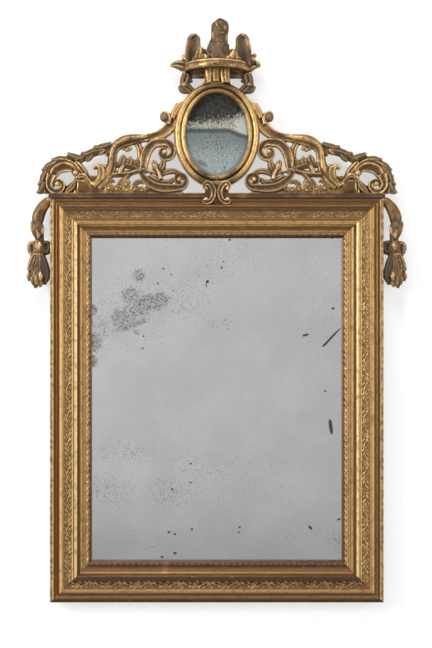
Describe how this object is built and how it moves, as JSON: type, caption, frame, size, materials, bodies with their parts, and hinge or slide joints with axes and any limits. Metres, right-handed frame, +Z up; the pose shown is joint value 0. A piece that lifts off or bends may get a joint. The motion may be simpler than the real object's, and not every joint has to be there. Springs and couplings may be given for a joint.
{
  "type": "giltwood wall mirror",
  "caption": "Carved giltwood wall mirror: mitred moulded frame, large foxed plate, pierced scrollwork crest with oval mirror, coronet and eagle, corner pendants, hanging rings.",
  "frame": {"origin": "middle of the frame on the wall plane, at the back boards' rear face", "axes": "+Z up, +Y into the wall, -Y towards the viewer, +X to the viewer's right"},
  "size_m": [0.898, 0.093, 1.3679],
  "materials": {
    "gilt": "aged water gilding over red bole, worn on the high edges and dark in the hollows",
    "dark_gilt": "toned gilding darkened with age",
    "mirror_glass": "old foxed mirror glass",
    "old_pine": "dry oxidised pine, sawn and planed by hand",
    "hardwood": "dry hardwood",
    "iron": "forged iron with a dull brown rust"
  },
  "bodies": {
    "mirror": {"top_rail": "gilt", "bottom_rail": "gilt", "left_stile": "gilt", "right_stile": "gilt", "crest_scroll_left": "gilt", "crest_scroll_right": "gilt", "end_scroll_left": "gilt", "end_scroll_right": "gilt", "flowers_left": "gilt", "flowers_right": "gilt", "oval_frame": "gilt", "clasp": "gilt", "coronet": "gilt", "coronet_post": "gilt", "shoulder_leaf_left": "gilt", "shoulder_leaf_right": "gilt", "eagle": "gilt", "eagle_wing_left": "gilt", "eagle_wing_right": "gilt", "pendant_left": "gilt", "pendant_right": "gilt", "crest_plinth": "dark_gilt", "mirror_plate": "mirror_glass", "oval_plate": "mirror_glass", "plate_blocks": "old_pine", "backboard_left": "old_pine", "backboard_centre": "old_pine", "backboard_right": "old_pine", "oval_backboard": "old_pine", "crest_batten": "old_pine", "cleat_left": "old_pine", "cleat_right": "old_pine", "mitre_keys": "hardwood", "crest_dowels": "hardwood", "pendant_dowels": "hardwood", "backboard_nails": "iron", "oval_pins": "iron", "crest_screws": "iron", "hanger_plate_left": "iron", "hanger_plate_right": "iron", "hanger_screws": "iron"},
    "hanger_ring_left": {"hanger_ring_left": "iron"},
    "hanger_ring_right": {"hanger_ring_right": "iron"}
  },
  "joints": [
    {"name": "hanger_swing_left", "type": "hinge", "parent": "mirror", "child": "hanger_ring_left", "pos_m": [-0.356, -0.0052, 0.3], "axis": [1, 0, 0], "range_deg": [0, 180]},
    {"name": "hanger_swing_right", "type": "hinge", "parent": "mirror", "child": "hanger_ring_right", "pos_m": [0.356, -0.0052, 0.3], "axis": [1, 0, 0], "range_deg": [0, 180]}
  ]
}
